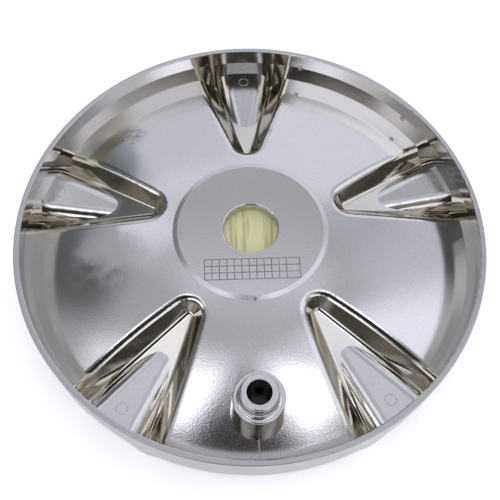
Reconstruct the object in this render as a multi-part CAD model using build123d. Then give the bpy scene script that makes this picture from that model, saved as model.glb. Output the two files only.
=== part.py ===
"""Wheel centre cap: a chrome-plated moulding lying on its face, with an emblem disc stuck to its front.

Millimetres. +Z points out of the cap's back, and Z = 0 is the surface that the rib crests rest on.
The cap's axis is Z. One rib points along +Y, and the screw post stands on the -Y side.
"""
import os
from math import cos, hypot, radians, sin, sqrt, tan

from build123d import *

# Rim: a skirt whose free edge, the land, faces the wheel
rim_radius = 95.0
rim_height = 24.3
land_width = 2.25
land_edge_round = 0.4
knee_depth = 7.2
knee_inset = 0.15
panel_edge_inset = 3.5
panel_edge_height = 9.3

# Moulded wall and domed panel
wall = 2.3
dome_rise = 13.36

# Hub disc in the middle of the panel
hub_radius = 31.9
hub_step_width = 1.9
hub_step_height = 0.6
hub_thickness = 4.4
hub_hole_radius = 11.1
hub_hole_round = 0.8

# Emblem seat on the front of the hub disc
seat_lip_width = 2.3
seat_depth = 1.75
seat_clearance = 0.3
pad_inset = 1.2
pad_thickness = 0.9
emblem_edge_thickness = 1.5
emblem_dome_height = 0.7

# Hollow ribs, which the back shows as wedge-shaped channels
rib_count = 5
rib_fall = 13.2
rib_draft = 45.0
rib_hub_gap = 5.7
rib_spread = 15.4
rib_nose_round = 1.5
rib_floor_round = 2.5
rib_shoulder_round = 4.0
rib_root_round = 1.5
groove_edge_round = 1.4
rim_edge_round = 0.9

# Groove scooped out of each rib, which the back shows as a rising tongue
tongue_apex_gap = 22.5
tongue_rim_height = 10.7
tongue_rim_half_flat = 6.4
tongue_tip_half_flat = 0.4
tongue_tip_run = 2.6
tongue_side_draft = 10.0
tongue_edge_round = 7.0

# Stepped screw post
post_rim_gap = 21.8
post_height_over_land = 14.8
post_shoulder_drop = 6.5
post_shoulder_radius = 9.4
post_draft = 2.8
post_neck_radius = 6.7
post_neck_round = 1.6
post_edge_round = 0.6
post_bore_radius = 4.47
post_bore_depth = 14.0
screw_hole_radius = 3.3
screw_head_radius = 6.5
screw_head_depth = 9.0

# Values that follow from the sizes above
land_z = rim_height
land_inner_radius = rim_radius - land_width
panel_edge_radius = rim_radius - panel_edge_inset
rib_apex_radius = hub_radius + rib_hub_gap
post_orbit = rim_radius - post_rim_gap
post_top_z = land_z + post_height_over_land
run_out_radius = rim_radius + 5 * wall
run_out_z = land_z + 10 * wall
slope = radians(rib_fall)
dome_radius = (panel_edge_radius**2 + dome_rise**2) / (2 * dome_rise)
dome_center_z = panel_edge_height + dome_rise - dome_radius
front_dome_radius = dome_radius - wall
tongue_root = rib_apex_radius + tongue_apex_gap
tongue_tip = tongue_root - tongue_tip_run
groove_draft = radians(tongue_side_draft)
groove_round = tongue_edge_round - wall
groove_half_width = tongue_rim_half_flat + groove_round * tan(radians(45) - groove_draft / 2)
groove_half_width += (tongue_rim_height - wall) * tan(groove_draft)
crest_reach = sqrt(rim_radius**2 - groove_half_width**2)
crest_corner_z = rim_edge_round * (1 - tan(slope) - 1 / cos(slope)) - (rim_radius - crest_reach) * tan(slope)
downwards = (Align.CENTER, Align.CENTER, Align.MAX)


def dome_z(radius, sphere_radius=dome_radius):
    """Height of a dome about the cap's axis, at a distance from that axis."""
    return dome_center_z + sqrt(sphere_radius**2 - radius**2)


def slope_z(along, skin):
    """Height of a rib's slope at a distance along the rib: skin 0 is the channel floor, and wall the crest."""
    return crest_corner_z + (rim_radius - along) * tan(slope) + (wall - skin) / cos(slope)


tongue_rise = (tongue_rim_height - slope_z(tongue_root, 0)) / (land_inner_radius - tongue_root)


def tongue_z(along):
    """Height of a tongue's flat top at a distance along the rib."""
    return tongue_rim_height - (land_inner_radius - along) * tongue_rise


hub_back_z = dome_z(hub_radius) + hub_step_height
seat_z = hub_back_z - hub_thickness
seat_radius = hub_radius - seat_lip_width
lip_z = seat_z - seat_depth


def turned(outline):
    """Solid of revolution about Z from a closed outline in the XZ plane."""
    return revolve(Plane.XZ * make_face(outline), Axis.Z)


def around(solid):
    """Copies of a solid at every rib position."""
    return [Rot(0, 0, turn * 360 / rib_count) * solid for turn in range(rib_count)]


def rib(skin):
    """One rib along +Y as a drafted wedge with a rounded slope, moved out by a skin and running past the rim."""
    spread, draft = radians(rib_spread), radians(rib_draft)
    side_shift = skin * (1 / cos(draft) - tan(draft))
    apex = rib_apex_radius / cos(slope) - side_shift / sin(spread)
    far = 2 * rim_radius
    half_width = (far - apex) * tan(spread)
    outline = make_face(Polyline((0, apex), (half_width, far), (-half_width, far), close=True))
    nose = outline.vertices().sort_by(Axis.Y)[0]
    outline = fillet(nose, rib_nose_round + side_shift)
    floor = Plane(origin=(0, 0, slope_z(0, skin)), x_dir=(1, 0, 0), z_dir=(0, sin(slope), cos(slope)))
    solid = extrude(floor * outline, rim_height, taper=-rib_draft)
    floor_edges = solid.faces().sort_by(Axis(floor.origin, floor.z_dir))[0].edges().sort_by(Axis.Y)[:-1]
    return fillet(floor_edges, rib_floor_round + skin)


def tongue(skin):
    """Tongue along +Y with a flat top that widens towards the rim, its top and sides moved in by a skin."""
    foot_drop = 2 * rim_height
    edge_round = tongue_edge_round - skin
    widening = (tongue_rim_half_flat - tongue_tip_half_flat) / (land_inner_radius - tongue_tip)

    def section(along):
        top = tongue_z(along) - skin * hypot(1, tongue_rise)
        half_flat = tongue_tip_half_flat + (along - tongue_tip) * widening
        half_width = half_flat + edge_round * tan(radians(45) - groove_draft / 2)
        foot_half_width = half_width + foot_drop * tan(groove_draft)
        outline = make_face(
            Polyline(
                (-half_width, top),
                (half_width, top),
                (foot_half_width, top - foot_drop),
                (-foot_half_width, top - foot_drop),
                close=True,
            )
        )
        outline = fillet(outline.vertices().sort_by(Axis.Y)[-2:], edge_round)
        return Plane(origin=(0, along, 0), x_dir=(-1, 0, 0), z_dir=(0, 1, 0)) * outline

    return loft([section(tongue_tip), section(run_out_radius + 2 * wall)], ruled=True)


def above_panel(hub_outline, sphere_radius):
    """Space above a dome that runs on past the rim, with the hub's outline in the middle."""
    start = hub_outline[-1]
    end = (run_out_radius, dome_z(run_out_radius, sphere_radius))
    middle_radius = (start[0] + end[0]) / 2
    return turned(
        Polyline(*hub_outline)
        + ThreePointArc(start, (middle_radius, dome_z(middle_radius, sphere_radius)), end)
        + Polyline(end, (run_out_radius, run_out_z), (0, run_out_z), hub_outline[0])
    )


def on_panel(sphere_radius):
    """Test for edges where a rib's side meets a dome."""

    def test(edge):
        middle = edge @ 0.5
        height = dome_z(hypot(middle.X, middle.Y), sphere_radius)
        return edge.geom_type == GeomType.BSPLINE and abs(middle.Z - height) < wall / 100

    return test


def inside_rim_wall(edge):
    """Whether an edge's middle lies nearer to the axis than the rim's outer wall."""
    middle = edge @ 0.5
    return hypot(middle.X, middle.Y) < rim_radius


def hollow_back():
    """Space on the cap's back: the dish, the channels around the tongues, and the rim's inner wall."""
    hub_top_radius = hub_radius - hub_step_width
    hub_outline = [(0, hub_back_z), (hub_top_radius, hub_back_z), (hub_radius, dome_z(hub_radius))]
    space = above_panel(hub_outline, dome_radius) + around(rib(0))
    space = fillet(space.edges().filter_by(on_panel(dome_radius)), rib_shoulder_round)
    space -= around(tongue(0))
    knee_radius = land_inner_radius - knee_inset
    wall_draft = (knee_radius - panel_edge_radius) / (land_z - knee_depth - panel_edge_height)
    inside_rim = turned(
        Polyline(
            (0, 0),
            (knee_radius - (land_z - knee_depth) * wall_draft, 0),
            (knee_radius, land_z - knee_depth),
            (land_inner_radius, land_z),
            (land_inner_radius, run_out_z),
            (0, run_out_z),
            close=True,
        )
    )
    return space & inside_rim


def on_rim_wall(edge):
    """Whether an edge of the front form bounds the rim's outer wall below the land."""
    middle = edge @ 0.5
    on_wall = abs(hypot(middle.X, middle.Y) - rim_radius) < wall / 100
    return on_wall and middle.Z < land_z - land_edge_round


def front_form():
    """Everything behind the cap's front: the panel, ribs and grooves inside the rim's outer wall."""
    hub_outline = [(0, lip_z), (hub_radius, lip_z), (hub_radius, dome_z(hub_radius, front_dome_radius))]
    form = above_panel(hub_outline, front_dome_radius) + around(rib(wall))
    form = fillet(form.edges().filter_by(on_panel(front_dome_radius)), rib_root_round)
    grooves = around(tongue(wall))
    ungrooved = form
    form = ungrooved - grooves
    form = fillet(new_edges(ungrooved, *grooves, combined=form).filter_by(inside_rim_wall), groove_edge_round)
    form &= Pos(0, 0, land_z) * Cylinder(rim_radius, 2 * rim_height, align=downwards)
    return fillet(form.edges().filter_by(on_rim_wall), rim_edge_round)


def post():
    """Stepped screw post at its place, down to the middle of the panel's wall."""
    shoulder = post_top_z - post_shoulder_drop
    foot = dome_z(rim_radius)
    foot_radius = post_shoulder_radius + (shoulder - foot) * tan(radians(post_draft))
    outline = make_face(
        Polyline(
            (0, foot),
            (foot_radius, foot),
            (post_shoulder_radius, shoulder),
            (post_neck_radius, shoulder),
            (post_neck_radius, post_top_z),
            (0, post_top_z),
            close=True,
        )
    )
    inner_corner = outline.vertices().sort_by_distance((post_neck_radius, shoulder))[0]
    outline = fillet(inner_corner, post_neck_round)
    shoulder_corner = outline.vertices().sort_by_distance((post_shoulder_radius, shoulder))[0]
    neck_corner = outline.vertices().sort_by_distance((post_neck_radius, post_top_z))[0]
    outline = fillet([shoulder_corner, neck_corner], post_edge_round)
    solid = Pos(0, -post_orbit, 0) * revolve(Plane.XZ * outline, Axis.Z)
    return solid - Pos(0, 0, dome_center_z) * Sphere(dome_radius - wall / 2)


def screw_way():
    """Space through the post: a socket from the back, a screw hole, and a recess for the head from the front."""
    head_z = dome_z(post_orbit, front_dome_radius) + screw_head_depth
    socket = Pos(0, 0, post_top_z) * Cylinder(post_bore_radius, post_bore_depth, align=downwards)
    hole = Pos(0, 0, post_top_z) * Cylinder(screw_hole_radius, post_top_z, align=downwards)
    recess = Pos(0, 0, head_z) * Cylinder(screw_head_radius, head_z, align=downwards)
    return Pos(0, -post_orbit, 0) * (socket + hole + recess)


def at_height(height):
    """Test for edges whose middle lies at a height."""
    return lambda edge: abs((edge @ 0.5).Z - height) < wall / 100


def cap_body():
    """The whole moulding."""
    body = front_form() - hollow_back()
    body = fillet(body.edges().filter_by(at_height(land_z)), land_edge_round)
    body -= Pos(0, 0, land_z) * Cylinder(hub_hole_radius, rim_height, align=downwards)
    body -= Pos(0, 0, seat_z) * Cylinder(seat_radius, rim_height, align=downwards)
    hub_circles = body.edges().filter_by(at_height(hub_back_z)).filter_by(GeomType.CIRCLE)
    body = fillet(hub_circles.sort_by(SortBy.RADIUS)[0], hub_hole_round)
    return body + post() - screw_way()


def adhesive_pad():
    """Flat adhesive disc between the seat and the emblem disc."""
    return Pos(0, 0, seat_z) * Cylinder(seat_radius - pad_inset, pad_thickness, align=downwards)


def emblem_disc():
    """Bare disc with a domed face, stuck in the seat."""
    radius = seat_radius - seat_clearance
    back = seat_z - pad_thickness
    crown = back - emblem_edge_thickness - emblem_dome_height
    face_radius = (radius**2 + emblem_dome_height**2) / (2 * emblem_dome_height)
    blank = Pos(0, 0, back) * Cylinder(radius, back - crown, align=downwards)
    return blank & Pos(0, 0, crown + face_radius) * Sphere(face_radius)


nodes = {
    "cap_body": cap_body(),
    "adhesive_pad": adhesive_pad(),
    "emblem_disc": emblem_disc(),
}

os.makedirs("parts", exist_ok=True)
for name, solid in nodes.items():
    export_step(solid, f"parts/{name}.step")
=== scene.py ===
"""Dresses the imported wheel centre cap: chrome plate, adhesive, moulding marks, light tent and camera.

Metres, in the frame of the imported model: +Z points out of the cap's back, one rib lies along +Y, and the
screw post stands on the -Y side.
"""
import logging
from dataclasses import dataclass, field
from enum import Enum
from typing import Optional, Union

import bpy
import numpy as np
from mathutils import Matrix


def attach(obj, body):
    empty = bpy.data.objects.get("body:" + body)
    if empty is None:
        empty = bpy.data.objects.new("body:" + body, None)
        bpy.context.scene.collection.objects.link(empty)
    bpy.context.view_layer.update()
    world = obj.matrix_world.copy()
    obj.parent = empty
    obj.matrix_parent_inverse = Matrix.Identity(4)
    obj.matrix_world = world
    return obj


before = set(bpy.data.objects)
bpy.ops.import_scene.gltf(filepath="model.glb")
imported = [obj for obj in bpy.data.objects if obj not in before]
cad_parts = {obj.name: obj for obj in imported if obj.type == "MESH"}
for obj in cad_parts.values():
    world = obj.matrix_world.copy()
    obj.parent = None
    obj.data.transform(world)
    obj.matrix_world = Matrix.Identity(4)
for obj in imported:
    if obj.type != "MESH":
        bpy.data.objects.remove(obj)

LOG = logging.getLogger("wheel_cap")
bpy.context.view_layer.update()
BODY = "root"
MM = 0.001
NOISE_MIDDLE = 0.5


class Slot(Enum):
    """Material slots of the record."""

    CHROME = "chrome_plate"
    ADHESIVE = "adhesive"
    EMBLEM = "emblem"


class Op(Enum):
    """Operations of the Math node that the shaders use."""

    ADD = "ADD"
    SUBTRACT = "SUBTRACT"
    MULTIPLY = "MULTIPLY"
    SQUARE_ROOT = "SQRT"
    ANGLE = "ARCTAN2"
    ROUND = "ROUND"
    SINE = "SINE"
    COSINE = "COSINE"
    ABSOLUTE = "ABSOLUTE"


class Axis(Enum):
    """Axes to turn about."""

    X = 0
    Z = 2


class Tint(Enum):
    """Tints of the tent's light."""

    PALE = (0.98, 1.0, 1.13)
    WARM = (1.0, 0.93, 0.82)
    COOL = (0.96, 1.0, 1.18)


class Shade:
    """A shader value: wraps a socket, or a plain number, and turns arithmetic into Math nodes."""

    def __init__(self, graph: "Graph", source: Union[bpy.types.NodeSocket, float]) -> None:
        """Keeps the graph that new nodes go into and the socket or number."""
        self.graph = graph
        self.source = source

    def apply(self, operation: Op, *others: "Value") -> "Shade":
        """Adds one Math node.

        Args:
            operation: What the node works out.
            others: Its further operands.

        Returns:
            The node's result.
        """
        inputs = dict(enumerate((self, *others)))
        return self.graph.node("ShaderNodeMath", {"operation": operation.value}, inputs).out(0)

    def __add__(self, other: "Value") -> "Shade":
        """Sum."""
        return self.apply(Op.ADD, other)

    def __sub__(self, other: "Value") -> "Shade":
        """Difference."""
        return self.apply(Op.SUBTRACT, other)

    def __mul__(self, other: "Value") -> "Shade":
        """Product."""
        return self.apply(Op.MULTIPLY, other)

    def __rsub__(self, other: float) -> "Shade":
        """Difference from a plain number."""
        return Shade(self.graph, other).apply(Op.SUBTRACT, self)

    __radd__ = __add__
    __rmul__ = __mul__

    def smooth(self, low: float, high: float) -> "Shade":
        """Smooth step.

        Args:
            low: Value at which the step starts.
            high: Value at which it ends; below low, the step falls instead.

        Returns:
            0 before the step and 1 after it.
        """
        if low > high:
            return 1.0 - self.smooth(high, low)
        settings = {"interpolation_type": "SMOOTHSTEP", "clamp": True}
        return self.graph.node("ShaderNodeMapRange", settings, {0: self, 1: low, 2: high}).out(0)

    def within(self, low: float, high: float, soft: float) -> "Shade":
        """1 between low and high and 0 outside, with steps of a given width centred on both ends."""
        half = soft / 2
        return self.smooth(low - half, low + half) * self.smooth(high + half, high - half)


Value = Union[Shade, float, int, tuple]


class NodeOut:
    """A node that was added, giving its outputs as shader values."""

    def __init__(self, graph: "Graph", node: bpy.types.Node) -> None:
        """Keeps the graph and the node."""
        self.graph = graph
        self.node = node

    def out(self, key: Union[int, str]) -> Shade:
        """The output with this number or name."""
        return Shade(self.graph, self.node.outputs[key])


class Graph:
    """A node tree under construction."""

    def __init__(self, tree: bpy.types.NodeTree) -> None:
        """Empties the tree."""
        self.tree = tree
        tree.nodes.clear()

    def node(self, kind: str, settings: Optional[dict] = None, inputs: Optional[dict] = None) -> NodeOut:
        """Adds any node.

        Args:
            kind: The node's type.
            settings: Properties of the node, set first.
            inputs: Input number or name to a value or a link.

        Returns:
            The node with its outputs.
        """
        node = self.tree.nodes.new(kind)
        for key, value in (settings or {}).items():
            setattr(node, key, value)
        for key, value in (inputs or {}).items():
            self.feed(node.inputs[key], value)
        return NodeOut(self, node)

    def feed(self, socket: bpy.types.NodeSocket, value: Value) -> None:
        """Links a shader value to an input, or sets a plain value on it.

        Args:
            socket: The input.
            value: A shader value, a number, a vector or a colour of three parts.
        """
        plain = value.source if isinstance(value, Shade) else value
        if isinstance(plain, bpy.types.NodeSocket):
            self.tree.links.new(plain, socket)
        elif isinstance(plain, tuple) and socket.type == "RGBA":
            socket.default_value = (*plain, 1.0)
        else:
            socket.default_value = plain

    def mix(self, factor: Value, first: Value, second: Value) -> Shade:
        """Mixes two colours.

        Args:
            factor: Share of the second colour.
            first: First colour.
            second: Second colour.

        Returns:
            The mixed colour.
        """
        # Inputs 6 and 7 and output 2 are the node's colour sockets
        inputs = {0: factor, 6: first, 7: second}
        return self.node("ShaderNodeMix", {"data_type": "RGBA"}, inputs).out(2)

    def noise(self, place: Value, scale: float, detail: float = 3.0, rough: float = 0.55) -> Shade:
        """Noise.

        Args:
            place: Where it is looked up.
            scale: Waves per metre.
            detail: Octaves.
            rough: Strength of the finer octaves.

        Returns:
            A value around 0.5.
        """
        inputs = {"Vector": place, "Scale": scale, "Detail": detail, "Roughness": rough}
        return self.node("ShaderNodeTexNoise", {}, inputs).out(0)

    def stretched(self, place: Value, scale: tuple) -> Shade:
        """The place scaled along each axis."""
        return self.node("ShaderNodeMapping", {}, {"Vector": place, "Scale": scale}).out(0)

    def distance(self, place: Value, point: tuple) -> Shade:
        """Distance of the place from a point."""
        settings = {"operation": "DISTANCE"}
        return self.node("ShaderNodeVectorMath", settings, {0: place, 1: point}).out("Value")

    def level(self, place: Value) -> Shade:
        """The place brought down to Z = 0."""
        settings = {"operation": "MULTIPLY"}
        return self.node("ShaderNodeVectorMath", settings, {0: place, 1: (1.0, 1.0, 0.0)}).out(0)

    def bump(self, height: Value, strength: float, depth: float) -> Shade:
        """Normal bent by a height field of a given depth."""
        inputs = {"Strength": strength, "Distance": depth, "Height": height}
        return self.node("ShaderNodeBump", {}, inputs).out(0)


class Finish:
    """Base of the finishes: makes a material with a Principled shader."""

    name = "finish"

    def material(self) -> bpy.types.Material:
        """Makes the material.

        Returns:
            A material whose Principled shader was fed by the finish's own paint method.
        """
        material = bpy.data.materials.new(self.name)
        material.use_nodes = True
        graph = Graph(material.node_tree)
        shader = graph.node("ShaderNodeBsdfPrincipled")
        self.paint(graph, shader.node.inputs, graph.node("ShaderNodeTexCoord").out("Object"))
        graph.node("ShaderNodeOutputMaterial", {}, {"Surface": shader.out(0)})
        return material

    def paint(self, graph: Graph, inputs: bpy.types.NodeInputs, place: Shade) -> None:
        """Feeds the shader's inputs from the place in the object's own frame."""
        raise NotImplementedError


@dataclass(frozen=True)
class RibPlace:
    """Where a point lies: along and across the nearest rib, away from the cap's axis, and up."""

    along: Shade
    across: Shade
    radius: Shade
    height: Shade

    @staticmethod
    def of(graph: Graph, place: Shade, rib_count: int) -> "RibPlace":
        """Folds the angle from +Y into the nearest rib's own sector.

        Args:
            graph: Graph that the nodes go into.
            place: Place in the cap's frame.
            rib_count: Ribs around the cap.

        Returns:
            The place against the nearest rib.
        """
        split = graph.node("ShaderNodeSeparateXYZ", {}, {0: place})
        x, y, z = split.out(0), split.out(1), split.out(2)
        radius = (x * x + y * y).apply(Op.SQUARE_ROOT)
        pitch = 2 * np.pi / rib_count
        turn = x.apply(Op.ANGLE, y)
        folded = turn - (turn * (1.0 / pitch)).apply(Op.ROUND) * pitch
        across = (radius * folded.apply(Op.SINE)).apply(Op.ABSOLUTE)
        return RibPlace(radius * folded.apply(Op.COSINE), across, radius, z)


@dataclass(frozen=True)
class Speckle:
    """A noise pattern: waves per metre, octaves, and the strength of the finer ones."""

    scale: float
    detail: float = 3.0
    rough: float = 0.55

    def value(self, graph: Graph, place: Value) -> Shade:
        """The pattern at a place, around 0.5."""
        return graph.noise(place, self.scale, self.detail, self.rough)


@dataclass(frozen=True)
class Blemish:
    """A round mark on the plate: its middle, its reach, and the share of the reach at full strength."""

    x: float
    y: float
    z: float
    reach: float
    full: float = 0.35

    def weight(self, graph: Graph, place: Shade) -> Shade:
        """1 in the middle of the mark, fading to 0 at its reach."""
        return graph.distance(place, (self.x, self.y, self.z)).smooth(self.reach, self.full * self.reach)


@dataclass(frozen=True)
class Zones:
    """Zones of the plate, each 1 inside and 0 outside."""

    back: Shade
    panel: Shade
    channel: Shade
    tongue: Shade
    rim: Shade
    land: Shade


@dataclass(frozen=True)
class ChromePlate(Finish):
    """Chrome plate: painted olive reflection in the channels, mottled, clouded and smudged on the panel,
    with a painted dark reflection on its left, dull on the land, and painted shade in the post's bore.
    """

    name: str = Slot.CHROME.value

    tint: tuple = (0.625, 0.605, 0.57)
    # painted reflection: darker, warmer chrome in the channels, standing in for their dark, warm reflections
    channel_reflection_tint: tuple = (0.59, 0.56, 0.485)
    land_tint: tuple = (0.5, 0.49, 0.47)
    mottle_tint: tuple = (0.575, 0.557, 0.525)
    # painted reflection: darker tint for the dark reflection on the left of the panel
    dark_reflection_tint: tuple = (0.4, 0.405, 0.37)
    grime: tuple = (0.2, 0.185, 0.16)
    # painted shade: near black inside the post's bore
    bore_shade: tuple = (0.012, 0.014, 0.011)

    panel_roughness: float = 0.115
    tongue_roughness: float = 0.17
    channel_roughness: float = 0.11
    land_roughness: float = 0.3
    rim_haze: float = 0.04
    rim_haze_width: float = 16.0 * MM
    hub_edge: tuple = (29.8 * MM, 32.1 * MM)
    hub_edge_fade: float = 0.4 * MM
    hub_edge_haze: float = 0.16

    grain: Speckle = Speckle(1500.0, 4.0, 0.6)
    grain_strength: float = 1.0
    grain_depth: float = 0.022 * MM
    tongue_grain: float = 0.3
    mottle: Speckle = Speckle(1200.0, 5.0, 0.7)
    mottle_span: tuple = (0.35, 0.75)
    cloud: Speckle = Speckle(42.0)
    cloud_roughness: float = 0.1

    post_orbit: float = 73.2 * MM
    post_radius: float = 10.2 * MM
    post_fade: float = 0.3 * MM
    bore_radius: float = 4.5 * MM
    bore_fade: tuple = (0.05 * MM, 0.15 * MM)
    bore_mouth: float = 38.4 * MM
    bore_mouth_fade: float = 1.0 * MM

    rib_count: int = 5
    channel_start: float = 41.4 * MM
    channel_half_width: float = 6.0 * MM
    channel_widening: float = 0.41
    channel_bend: float = 1.75
    channel_fade: tuple = (-0.9 * MM, 0.6 * MM)
    nose: float = 37.9 * MM
    nose_fade: float = 0.6 * MM
    tongue_start: float = 58.5 * MM
    tongue_start_fade: float = 1.0 * MM
    tongue_half_width: float = 4.0 * MM
    tongue_widening: float = 0.17
    tongue_fade: float = 0.8 * MM

    panel_edge: float = 91.3 * MM
    rim_fade: float = 0.6 * MM
    land_edge: float = 92.9 * MM
    land_fade: float = 0.4 * MM
    land_height: float = 24.0 * MM
    land_height_fade: float = 0.3 * MM
    back_facing: tuple = (-0.15, -0.05)

    smudges: tuple = (
        Blemish(-52.0 * MM, 53.0 * MM, 14.0 * MM, 9.0 * MM),
        Blemish(7.5 * MM, 52.0 * MM, 17.0 * MM, 5.0 * MM),
    )
    smudge_blotch: Speckle = Speckle(520.0, 4.0, 0.7)
    smudge_span: tuple = (0.4, 0.66)
    smudge_share: float = 0.6
    smudge_film: float = 0.2
    haze: Blemish = Blemish(-58.0 * MM, -10.0 * MM, 16.0 * MM, 22.0 * MM)
    haze_span: tuple = (0.4, 0.64)
    haze_roughness: float = 0.3
    # painted dark reflection: where the left of the panel is darkened, broken up by the cloud
    painted_dark_reflection: Blemish = Blemish(-64.0 * MM, 36.0 * MM, 13.0 * MM, 27.0 * MM)
    dark_reflection_cloud: float = 0.5
    dark_reflection_span: tuple = (0.3, 0.8)
    specks: tuple = (
        Blemish(-89.0 * MM, 21.5 * MM, 11.5 * MM, 1.2 * MM),
        Blemish(-68.5 * MM, -34.6 * MM, 14.0 * MM, 0.9 * MM),
        Blemish(0.6 * MM, -31.4 * MM, 21.4 * MM, 1.0 * MM),
    )
    speck_share: float = 0.9

    def paint(self, graph: Graph, inputs: bpy.types.NodeInputs, place: Shade) -> None:
        """Feeds colour, roughness and grain, each worked out from the zones of the plate.

        Args:
            graph: Graph of the material.
            inputs: Inputs of the Principled shader.
            place: Place in the cap's frame.
        """
        rib = RibPlace.of(graph, place, self.rib_count)
        zones = self._zones(graph, place, rib)
        cloud = self.cloud.value(graph, place)
        grain = self.grain.value(graph, place) * (zones.panel + zones.tongue * self.tongue_grain)
        graph.feed(inputs["Roughness"], self._roughness(graph, place, rib, zones, cloud))
        graph.feed(inputs["Base Color"], self._colour(graph, place, rib, zones, cloud))
        graph.feed(inputs["Normal"], graph.bump(grain, self.grain_strength, self.grain_depth))
        inputs["Metallic"].default_value = 1.0

    def _zones(self, graph: Graph, place: Shade, rib: RibPlace) -> Zones:
        """Works out the zones.

        Args:
            graph: Graph of the material.
            place: Place in the cap's frame.
            rib: Place against the nearest rib.

        Returns:
            The zones; the panel is what is left beside channels, rim and post.
        """
        back = self._back(graph, rib)
        channel = self._channel(rib) * back
        rim = rib.radius.smooth(self.panel_edge, self.panel_edge + self.rim_fade)
        land = rib.radius.smooth(self.land_edge, self.land_edge + self.land_fade)
        land = land * rib.height.smooth(self.land_height - self.land_height_fade, self.land_height)
        panel = (1.0 - channel) * (1.0 - rim) * (1.0 - self._post(graph, place))
        return Zones(back, panel, channel, channel * self._tongue(rib), rim, land)

    def _roughness(self, graph: Graph, place: Shade, rib: RibPlace, zones: Zones, cloud: Shade) -> Shade:
        """Starts from the channels' roughness and adds what the other zones, hazes and clouds have more.

        Args:
            graph: Graph of the material.
            place: Place in the cap's frame.
            rib: Place against the nearest rib.
            zones: Zones of the plate.
            cloud: Wide noise.

        Returns:
            The roughness.
        """
        base = self.channel_roughness
        toward_rim = rib.radius.smooth(self.panel_edge - self.rim_haze_width, self.panel_edge)
        haze = zones.back * self.haze.weight(graph, place) * cloud.smooth(*self.haze_span)
        film = (self.panel_roughness - base + toward_rim * self.rim_haze + haze * self.haze_roughness
                + (cloud - NOISE_MIDDLE) * self.cloud_roughness)
        hub_edge = rib.radius.within(*self.hub_edge, self.hub_edge_fade)
        return (base + zones.panel * film + hub_edge * self.hub_edge_haze
                + zones.tongue * (1.0 - zones.rim) * (self.tongue_roughness - base)
                + zones.land * (self.land_roughness - base))

    def _colour(self, graph: Graph, place: Shade, rib: RibPlace, zones: Zones, cloud: Shade) -> Shade:
        """Lays the zones' tints, the channels' a painted reflection, then mottling, a painted dark
        reflection and dirt over the plate's own tint.

        Args:
            graph: Graph of the material.
            place: Place in the cap's frame.
            rib: Place against the nearest rib.
            zones: Zones of the plate.
            cloud: Wide noise.

        Returns:
            The colour, with painted shade inside the post's bore.
        """
        mottle = self.mottle.value(graph, place).smooth(*self.mottle_span) * (zones.panel + zones.tongue)
        painted_dark_reflection = self.painted_dark_reflection.weight(graph, place) + (cloud - NOISE_MIDDLE) * self.dark_reflection_cloud
        # painted reflection: the channels' sides and floors get the darker, warmer tint
        plate = graph.mix(zones.channel - zones.tongue, self.tint, self.channel_reflection_tint)
        plate = graph.mix(zones.land, plate, self.land_tint)
        plate = graph.mix(mottle, plate, self.mottle_tint)
        # painted reflection: darkens the left of the panel on the back, in place of its dark reflection
        plate = graph.mix(painted_dark_reflection.smooth(*self.dark_reflection_span) * zones.panel * zones.back, plate, self.dark_reflection_tint)
        plate = graph.mix(self._dirt(graph, place) * zones.back, plate, self.grime)
        # painted shade: the post's bore turns near black
        return graph.mix(self._bore_shade(graph, place, rib), plate, self.bore_shade)

    def _from_post(self, graph: Graph, place: Shade) -> Shade:
        """Distance from the screw post's axis."""
        return graph.distance(graph.level(place), (0.0, -self.post_orbit, 0.0))

    def _post(self, graph: Graph, place: Shade) -> Shade:
        """1 on the screw post."""
        away = self._from_post(graph, place)
        return away.smooth(self.post_radius + self.post_fade, self.post_radius - self.post_fade)

    def _bore_shade(self, graph: Graph, place: Shade, rib: RibPlace) -> Shade:
        """Finds the post's bore, where shade is painted in near black.

        Args:
            graph: Graph of the material.
            place: Place in the cap's frame.
            rib: Place against the nearest rib.

        Returns:
            1 inside the bore.
        """
        near, far = self.bore_fade
        inside = self._from_post(graph, place).smooth(self.bore_radius + far, self.bore_radius + near)
        return inside * rib.height.smooth(self.bore_mouth, self.bore_mouth - self.bore_mouth_fade)

    def _back(self, graph: Graph, rib: RibPlace) -> Shade:
        """Finds the back by the way that a face looks.

        Args:
            graph: Graph of the material.
            rib: Place against the nearest rib.

        Returns:
            1 on faces of the back inside the rim, 0 on the skirt and on the front.
        """
        facing = graph.node("ShaderNodeTexCoord").out("Normal")
        upward = graph.node("ShaderNodeSeparateXYZ", {}, {0: facing}).out(2)
        inside = rib.radius.smooth(self.land_edge + self.rim_fade, self.land_edge)
        return upward.smooth(*self.back_facing) * inside

    def _channel(self, rib: RibPlace) -> Shade:
        """Finds the channels, whose half width grows along the rib, at a rate that falls off outward.

        Args:
            rib: Place against the nearest rib.

        Returns:
            1 inside a channel.
        """
        run = rib.along - self.channel_start
        half_width = self.channel_half_width + run * self.channel_widening - run * run * self.channel_bend
        inside = (half_width - rib.across).smooth(*self.channel_fade)
        return inside * rib.along.smooth(self.nose - self.nose_fade, self.nose + self.nose_fade)

    def _tongue(self, rib: RibPlace) -> Shade:
        """Finds the tongues' tops, whose half width grows evenly along the rib.

        Args:
            rib: Place against the nearest rib.

        Returns:
            1 on a tongue's top.
        """
        half_width = self.tongue_half_width + (rib.along - self.tongue_start) * self.tongue_widening
        inside = (half_width - rib.across).smooth(-self.tongue_fade, self.tongue_fade)
        fade = self.tongue_start_fade
        return inside * rib.along.smooth(self.tongue_start - fade, self.tongue_start + fade)

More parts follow.
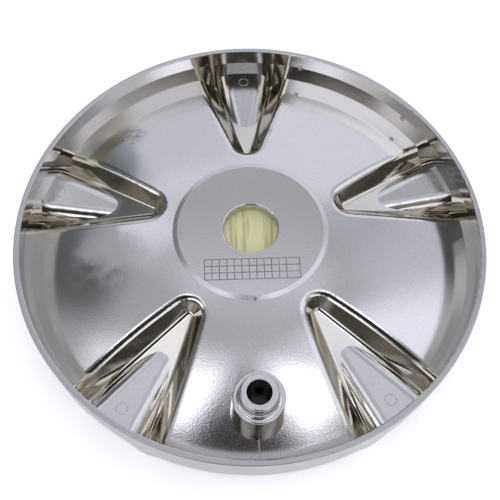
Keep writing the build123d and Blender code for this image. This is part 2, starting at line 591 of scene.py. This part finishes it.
    def _dirt(self, graph: Graph, place: Shade) -> Shade:
        """Adds up the smudges, a film broken up by blotches, and the small round specks.

        Args:
            graph: Graph of the material.
            place: Place in the cap's frame.

        Returns:
            Share of grime.
        """
        blotch = self.smudge_blotch.value(graph, place).smooth(*self.smudge_span)
        film = blotch * self.smudge_share + self.smudge_film
        dirt: Value = 0.0
        for smudge in self.smudges:
            dirt = smudge.weight(graph, place) * film + dirt
        for speck in self.specks:
            dirt = speck.weight(graph, place) * self.speck_share + dirt
        return dirt


@dataclass(frozen=True)
class MarkedChrome(Finish):
    """Chrome of the moulded marks, with grime caught along them."""

    name: str = "marked_chrome"
    tint: tuple = (0.4, 0.39, 0.37)
    grime: tuple = (0.22, 0.21, 0.19)
    film: Speckle = Speckle(260.0)
    film_span: tuple = (0.35, 0.65)
    roughness: float = 0.16
    film_roughness: float = 0.16

    def paint(self, graph: Graph, inputs: bpy.types.NodeInputs, place: Shade) -> None:
        """Grime comes and goes with noise.

        Args:
            graph: Graph of the material.
            inputs: Inputs of the Principled shader.
            place: Place in the cap's frame.
        """
        film = self.film.value(graph, place)
        graph.feed(inputs["Base Color"], graph.mix(film.smooth(*self.film_span), self.tint, self.grime))
        graph.feed(inputs["Roughness"], self.roughness + film * self.film_roughness)
        inputs["Metallic"].default_value = 1.0


@dataclass(frozen=True)
class AdhesiveFilm(Finish):
    """Pale yellow adhesive with streaks along Y."""

    name: str = Slot.ADHESIVE.value
    pale: tuple = (0.88, 0.85, 0.45)
    dark: tuple = (0.62, 0.57, 0.24)
    streak: Speckle = Speckle(420.0)
    streak_stretch: tuple = (1.0, 0.08, 1.0)
    streak_span: tuple = (0.48, 0.68)
    streak_depth: float = 0.3 * MM
    streak_strength: float = 0.3
    roughness: float = 0.35
    streak_roughness: float = 0.2

    def paint(self, graph: Graph, inputs: bpy.types.NodeInputs, place: Shade) -> None:
        """Streaks are noise stretched along Y.

        Args:
            graph: Graph of the material.
            inputs: Inputs of the Principled shader.
            place: Place in the cap's frame.
        """
        streak = self.streak.value(graph, graph.stretched(place, self.streak_stretch))
        graph.feed(inputs["Base Color"], graph.mix(streak.smooth(*self.streak_span), self.pale, self.dark))
        graph.feed(inputs["Roughness"], self.roughness + streak * self.streak_roughness)
        graph.feed(inputs["Normal"], graph.bump(streak, self.streak_strength, self.streak_depth))


@dataclass(frozen=True)
class BrushedDisc(Finish):
    """Bare aluminium, brushed along X."""

    name: str = Slot.EMBLEM.value
    tint: tuple = (0.72, 0.72, 0.73)
    line_tint: tuple = (0.55, 0.55, 0.56)
    line: Speckle = Speckle(3000.0, 2.0)
    line_stretch: tuple = (0.02, 1.0, 1.0)
    line_share: float = 0.3
    line_depth: float = 0.05 * MM
    line_strength: float = 0.1
    roughness: float = 0.24
    line_roughness: float = 0.16

    def paint(self, graph: Graph, inputs: bpy.types.NodeInputs, place: Shade) -> None:
        """Brush lines are noise stretched along X.

        Args:
            graph: Graph of the material.
            inputs: Inputs of the Principled shader.
            place: Place in the cap's frame.
        """
        line = self.line.value(graph, graph.stretched(place, self.line_stretch))
        graph.feed(inputs["Roughness"], self.roughness + line * self.line_roughness)
        graph.feed(inputs["Base Color"], graph.mix(line * self.line_share, self.tint, self.line_tint))
        graph.feed(inputs["Normal"], graph.bump(line, self.line_strength, self.line_depth))
        inputs["Metallic"].default_value = 1.0


@dataclass(frozen=True)
class Bead:
    """Section of a raised moulded line: half an ellipse whose feet lie a little below the surface."""

    half_width: float
    height: float
    sink: float = 0.03 * MM
    points: int = 9

    def along(self, path: np.ndarray, across: np.ndarray, up: np.ndarray) -> np.ndarray:
        """Carries the section along a path.

        Args:
            path: Points of the path, one row each.
            across: Direction across the line at each point.
            up: Direction off the surface at each point.

        Returns:
            Grid of points: path points by section points by three. A section point at angle a stands at
            minus half_width times cos a across, and (height plus sink) times sin a minus sink up.
        """
        angle = np.linspace(0.0, np.pi, self.points)
        sideways = -self.half_width * np.cos(angle)
        rise = (self.height + self.sink) * np.sin(angle) - self.sink
        return path[:, None] + across[:, None] * sideways[:, None] + up[:, None] * rise[:, None]


class Piece:
    """A mesh piece made of grids of points, finished as one object on the cap's body."""

    def __init__(self, name: str) -> None:
        """Starts an empty piece."""
        self.name = name
        self.grids: list = []

    def add(self, grid: np.ndarray) -> None:
        """Adds a grid of points, rows by columns by three."""
        self.grids.append(grid)

    @staticmethod
    def _quads(rows: int, columns: int) -> np.ndarray:
        """Point numbers of a grid's four-sided faces."""
        corner = (np.arange(rows - 1)[:, None] * columns + np.arange(columns - 1)).ravel()
        return np.stack([corner, corner + columns, corner + columns + 1, corner + 1], axis=1)

    def finish(self, material: bpy.types.Material, slot: Slot) -> bpy.types.Object:
        """Makes the object.

        Args:
            material: Its material.
            slot: Not used.

        Returns:
            The object, riding the cap's body.
        """
        starts = np.cumsum([0] + [grid.shape[0] * grid.shape[1] for grid in self.grids])
        points = np.concatenate([grid.reshape(-1, 3) for grid in self.grids])
        numbered = zip(self.grids, starts)
        quads = np.concatenate([self._quads(*grid.shape[:2]) + start for grid, start in numbered])
        mesh = bpy.data.meshes.new(self.name)
        mesh.from_pydata(points.tolist(), [], quads.tolist())
        mesh.polygons.foreach_set("use_smooth", np.ones(len(quads), dtype=bool))
        mesh.materials.append(material)
        piece = bpy.data.objects.new(self.name, mesh)
        bpy.context.scene.collection.objects.link(piece)
        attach(piece, BODY)
        LOG.info("%s: %d faces", self.name, len(quads))
        return piece


@dataclass
class DateGrid:
    """Raised grid of date cells on the hub: rows of square cells with one wide cell at the end."""

    left: float = -19.0 * MM
    low: float = -22.87 * MM
    height: float = 21.667 * MM
    cell: float = 2.97 * MM
    wide_cell: float = 5.33 * MM
    rows: int = 3
    square_cells: int = 11
    line: Bead = Bead(0.17 * MM, 0.13 * MM)

    def build(self, material: bpy.types.Material) -> None:
        """Lays the long and the short lines of the grid.

        Args:
            material: Material of the lines.
        """
        right = self.left + self.square_cells * self.cell + self.wide_cell
        high = self.low + self.rows * self.cell
        columns = np.append(self.left + np.arange(self.square_cells + 1) * self.cell, right)
        lines = [((self.left, y), (right, y)) for y in self.low + np.arange(self.rows + 1) * self.cell]
        lines += [((x, self.low), (x, high)) for x in columns]
        piece = Piece("date_grid")
        for ends in lines:
            path = np.column_stack([np.array(ends), np.full(2, self.height)])
            run = (path[1] - path[0]) / np.linalg.norm(path[1] - path[0])
            across = np.tile([run[1], -run[0], 0.0], (2, 1))
            piece.add(self.line.along(path, across, np.tile([0.0, 0.0, 1.0], (2, 1))))
        piece.finish(material, Slot.CHROME)


@dataclass
class EjectorMarks:
    """Thin raised rings that the ejector pins left on the tongue tops."""

    orbit: float = 86.3 * MM
    height: float = 10.587 * MM
    slope: float = 0.0175
    radius: float = 2.15 * MM
    rib_count: int = 5
    steps: int = 49
    line: Bead = Bead(0.2 * MM, 0.12 * MM)

    def build(self, material: bpy.types.Material) -> None:
        """Lays one ring on each tongue, tilted with the tongue's slope.

        Args:
            material: Material of the rings.
        """
        angle = np.linspace(0.0, 2 * np.pi, self.steps)
        outward = np.column_stack([np.cos(angle), np.sin(angle), self.slope * np.sin(angle)])
        ring = outward * self.radius + np.array([0.0, self.orbit, self.height])
        up = np.tile([0.0, -self.slope, 1.0], (self.steps, 1))
        grid = self.line.along(ring, outward, up)
        piece = Piece("ejector_marks")
        for turn in np.arange(self.rib_count) * 2 * np.pi / self.rib_count:
            cos, sin = np.cos(turn), np.sin(turn)
            piece.add(grid @ np.array([[cos, sin, 0.0], [-sin, cos, 0.0], [0.0, 0.0, 1.0]]))
        piece.finish(material, Slot.CHROME)


@dataclass
class WallPips:
    """Low round pips on the rim's inner wall."""

    places: tuple = ((26.86 * MM, 88.3 * MM, 16.84 * MM), (71.64 * MM, 58.2 * MM, 15.92 * MM))
    radius: float = 1.1 * MM
    height: float = 0.5 * MM
    sink: float = 0.1 * MM
    rings: int = 9
    steps: int = 33

    def build(self, material: bpy.types.Material) -> None:
        """Sets each pip on the wall: a quarter ellipse turned about the direction toward the cap's axis.

        Args:
            material: Material of the pips.
        """
        fall = np.linspace(0.0, np.pi / 2, self.rings)[:, None]
        turn = np.linspace(0.0, 2 * np.pi, self.steps)[None, :]
        piece = Piece("wall_pips")
        for place in self.places:
            inward = -np.array([place[0], place[1], 0.0]) / np.hypot(place[0], place[1])
            side = np.array([-inward[1], inward[0], 0.0])
            out = (self.height * np.cos(fall) - self.sink) * np.ones_like(turn)
            sideways = self.radius * np.sin(fall) * np.cos(turn)
            rise = self.radius * np.sin(fall) * np.sin(turn)
            piece.add(np.array(place) + out[..., None] * inward + sideways[..., None] * side
                      + rise[..., None] * np.array([0.0, 0.0, 1.0]))
        piece.finish(material, Slot.CHROME)


@dataclass
class WeldLine:
    """Fine raised line where the melt met, on the panel between the screw post and the rim."""

    inner: float = 82.4 * MM
    outer: float = 90.9 * MM
    dome_radius: float = 320.0 * MM
    dome_center: float = -297.34 * MM
    steps: int = 12
    line: Bead = Bead(0.22 * MM, 0.1 * MM)

    def build(self, material: bpy.types.Material) -> None:
        """Lays the line along -Y on the dome.

        At radius r the dome's height is its centre plus the root of its own radius squared less r squared.

        Args:
            material: Material of the line.
        """
        radius = np.linspace(self.inner, self.outer, self.steps)
        height = self.dome_center + np.sqrt(self.dome_radius**2 - radius**2)
        path = np.column_stack([np.zeros(self.steps), -radius, height])
        piece = Piece("weld_line")
        piece.add(self.line.along(path, np.tile([1.0, 0.0, 0.0], (self.steps, 1)),
                                  np.tile([0.0, 0.0, 1.0], (self.steps, 1))))
        piece.finish(material, Slot.CHROME)


def dress(node: str, material: bpy.types.Material) -> None:
    """Gives a CAD node's every material slot one material.

    Args:
        node: Name of the node.
        material: Its material.
    """
    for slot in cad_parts[node].material_slots:
        slot.material = material
    LOG.info("%s: %s", node, material.name)


@dataclass
class Cap:
    """The cap: its moulding, the pad and the emblem disc, with the marks that the mould left."""

    chrome: ChromePlate = field(default_factory=ChromePlate)
    marked: MarkedChrome = field(default_factory=MarkedChrome)
    adhesive: AdhesiveFilm = field(default_factory=AdhesiveFilm)
    disc: BrushedDisc = field(default_factory=BrushedDisc)

    def build(self) -> None:
        """Dresses the CAD nodes and adds the moulded marks."""
        chrome, marked = self.chrome.material(), self.marked.material()
        dress("cap_body", chrome)
        dress("adhesive_pad", self.adhesive.material())
        dress("emblem_disc", self.disc.material())
        DateGrid().build(marked)
        EjectorMarks().build(chrome)
        WallPips().build(chrome)
        WeldLine().build(chrome)


@dataclass(frozen=True)
class TentField:
    """One soft field of the light tent.

    Its azimuth range is in degrees from straight ahead, rising to the right. Its height range is in the sine
    of the elevation, 0 at the horizon and 1 overhead.
    """

    azimuth: tuple
    height: tuple
    light: float
    tint: Tint = Tint.PALE
    azimuth_soft: float = 14.0
    height_soft: float = 0.09

    def colour(self) -> tuple:
        """Light times tint."""
        return tuple(self.light * part for part in self.tint.value)

    def weight(self, azimuth: Shade, height: Shade) -> Shade:
        """1 inside the field and 0 outside."""
        across = azimuth.within(*self.azimuth, self.azimuth_soft)
        return across * height.within(*self.height, self.height_soft)


def turn_about(axis: Axis, angle: float) -> np.ndarray:
    """Rotation matrix.

    Args:
        axis: Axis to turn about.
        angle: Angle in radians.

    Returns:
        The 3 by 3 matrix.
    """
    first, second = [k for k in range(3) if k != axis.value]
    turn = np.eye(3)
    turn[first, first] = turn[second, second] = np.cos(angle)
    turn[first, second], turn[second, first] = -np.sin(angle), np.sin(angle)
    return turn


@dataclass
class Camera:
    """The camera, from its elevation, roll and tilt in radians, turned with the cap's spin about Z.

    The focal length is in picture widths, the sensor's width in millimetres as Blender has it.
    """

    focal: float = 1.38765
    elevation: float = 1.0575
    roll: float = -0.0292
    tilt: float = 0.0362
    distance: float = 281.61 * MM
    spin: float = 0.0634
    aim_height: float = 24.3 * MM
    sensor: float = 36.0
    nearest: float = 10.0 * MM

    def build(self) -> None:
        """Makes the camera and gives it to the scene."""
        right = np.array([1.0, 0.0, 0.0])
        back = np.array([0.0, -np.cos(self.elevation), np.sin(self.elevation)])
        level = np.stack([right, np.cross(back, right), back])
        spin = turn_about(Axis.Z, self.spin)
        lean = turn_about(Axis.Z, self.roll) @ turn_about(Axis.X, self.tilt)
        pose = np.eye(4)
        pose[:3, :3] = (lean @ level @ spin).T
        pose[:3, 3] = spin.T @ back * self.distance + np.array([0.0, 0.0, self.aim_height])
        data = bpy.data.cameras.new("camera")
        data.sensor_width = self.sensor
        data.lens = self.focal * self.sensor
        data.clip_start = self.nearest
        camera = bpy.data.objects.new("camera", data)
        camera.matrix_world = Matrix(pose.tolist())
        bpy.context.scene.collection.objects.link(camera)
        bpy.context.scene.camera = camera
        LOG.info("camera at %s", np.round(pose[:3, 3], 4).tolist())


@dataclass
class Tent:
    """The light tent: a plain base with soft light and dark fields over it, white behind the object."""

    base: TentField = TentField((-200.0, 200.0), (-2.0, 2.0), 0.57)
    fields: tuple = (
        TentField((-26.0, 50.0), (-2.0, 0.77), 1.02, Tint.COOL),
        TentField((-26.0, 0.0), (-2.0, 0.68), 0.84, Tint.COOL),
        TentField((-40.0, 50.0), (0.9, 0.972), 0.95, Tint.COOL),
        TentField((34.0, 52.0), (0.64, 0.84), 0.62, Tint.COOL),
        TentField((50.0, 70.0), (-2.0, 0.86), 0.76, Tint.COOL),
        TentField((68.0, 99.0), (-2.0, 0.975), 1.3, Tint.COOL),
        TentField((50.0, 103.0), (-2.0, 0.4), 0.6, Tint.COOL),
        TentField((101.0, 128.0), (-2.0, 0.62), 0.45, Tint.WARM),
        TentField((106.0, 130.0), (0.62, 0.82), 1.1),
        TentField((126.0, 160.0), (-2.0, 0.915), 0.3, Tint.WARM, height_soft=0.03),
        TentField((122.0, 166.0), (0.4, 0.66), 1.5, Tint.COOL, height_soft=0.06),
        TentField((126.0, 162.0), (-2.0, 0.4), 0.06, Tint.WARM, height_soft=0.06),
        TentField((-104.0, -72.0), (-2.0, 0.64), 0.14),
        TentField((-104.0, -72.0), (0.64, 0.82), 0.5),
        TentField((-104.0, -80.0), (0.82, 0.985), 1.45),
        TentField((-72.0, -28.0), (-2.0, 0.84), 0.15),
        TentField((-46.0, -22.0), (0.68, 0.86), 1.05, Tint.COOL, height_soft=0.04),
        TentField((-158.0, -104.0), (-2.0, 0.925), 0.12, Tint.WARM, height_soft=0.03),
        TentField((-162.0, -92.0), (0.4, 0.66), 2.0, Tint.COOL, height_soft=0.06),
        TentField((-158.0, -104.0), (-2.0, 0.4), 0.08, Tint.WARM, height_soft=0.06),
        TentField((-200.0, -141.0), (0.66, 0.99), 0.03, Tint.WARM, azimuth_soft=8.0),
        TentField((-200.0, -162.0), (-2.0, 0.7), 0.07, Tint.WARM),
        TentField((149.0, 200.0), (0.66, 0.99), 0.04, Tint.WARM, azimuth_soft=8.0),
        TentField((164.0, 200.0), (-2.0, 0.7), 0.07, Tint.WARM),
        TentField((171.0, 200.0), (0.42, 0.57), 0.9, azimuth_soft=8.0, height_soft=0.05),
        TentField((-200.0, -171.0), (0.42, 0.57), 0.9, azimuth_soft=8.0, height_soft=0.05),
        TentField((104.0, 147.0), (0.925, 0.994), 2.6, Tint.COOL, azimuth_soft=8.0, height_soft=0.03),
        TentField((-139.0, -106.0), (0.925, 0.992), 2.5, Tint.COOL, azimuth_soft=8.0, height_soft=0.03),
        TentField((-200.0, 200.0), (-2.0, 0.14), 0.2),
    )

    def build(self) -> None:
        """Makes the world; each field covers the ones before it."""
        world = bpy.data.worlds.new("light_tent")
        bpy.context.scene.world = world
        world.use_nodes = True
        graph = Graph(world.node_tree)
        direction = graph.node("ShaderNodeTexCoord").out("Generated")
        toward = graph.node("ShaderNodeSeparateXYZ", {}, {0: direction})
        azimuth = toward.out(0).apply(Op.ANGLE, toward.out(1)) * np.degrees(1.0)
        colour: Value = self.base.colour()
        for part in self.fields:
            colour = graph.mix(part.weight(azimuth, toward.out(2)), colour, part.colour())
        tent = graph.node("ShaderNodeBackground", {}, {"Color": colour})
        white = graph.node("ShaderNodeBackground", {}, {"Color": (1.0, 1.0, 1.0)})
        seen = graph.node("ShaderNodeLightPath").out("Is Camera Ray")
        both = graph.node("ShaderNodeMixShader", {}, {0: seen, 1: tent.out(0), 2: white.out(0)})
        graph.node("ShaderNodeOutputWorld", {}, {"Surface": both.out(0)})
        LOG.info("light tent with %d fields", len(self.fields))


@dataclass
class Floor:
    """Pale floor under the cap, white to the camera but for the cap's shadow."""

    half: float = 1.5
    colour: tuple = (0.85, 0.85, 0.86)
    lift: float = 0.55
    mirrored_lift: float = 0.3
    footprint: float = 95.0 * MM
    footprint_fade: float = 5.0 * MM

    def build(self) -> None:
        """Makes the floor at Z = 0."""
        h = self.half
        mesh = bpy.data.meshes.new("floor")
        mesh.from_pydata([(-h, -h, 0), (h, -h, 0), (h, h, 0), (-h, h, 0)], [], [(0, 1, 2, 3)])
        mesh.materials.append(self._material())
        floor = bpy.data.objects.new("floor", mesh)
        bpy.context.scene.collection.objects.link(floor)
        LOG.info("floor")

    def _material(self) -> bpy.types.Material:
        """Matt floor with a lift outside the cap's footprint, which only the camera and mirrors see.

        Returns:
            The material.
        """
        material = bpy.data.materials.new("pale_floor")
        material.use_nodes = True
        graph = Graph(material.node_tree)
        lit = graph.node("ShaderNodeBsdfDiffuse", {}, {"Color": self.colour})
        away = graph.distance(graph.node("ShaderNodeTexCoord").out("Object"), (0.0, 0.0, 0.0))
        open_floor = away.smooth(self.footprint - self.footprint_fade, self.footprint)
        path = graph.node("ShaderNodeLightPath")
        seen = path.out("Is Camera Ray") * self.lift + path.out("Is Glossy Ray") * self.mirrored_lift
        glow = graph.node("ShaderNodeEmission", {}, {"Strength": open_floor * seen})
        both = graph.node("ShaderNodeAddShader", {}, {0: lit.out(0), 1: glow.out(0)})
        graph.node("ShaderNodeOutputMaterial", {}, {"Surface": both.out(0)})
        return material


def main() -> None:
    """Builds the cap's dress and the studio."""
    logging.basicConfig(level=logging.INFO, format="%(name)s: %(message)s")
    bpy.context.scene.view_settings.view_transform = "Standard"
    Cap().build()
    Camera().build()
    Tent().build()
    Floor().build()


if __name__ == "__main__":
    main()
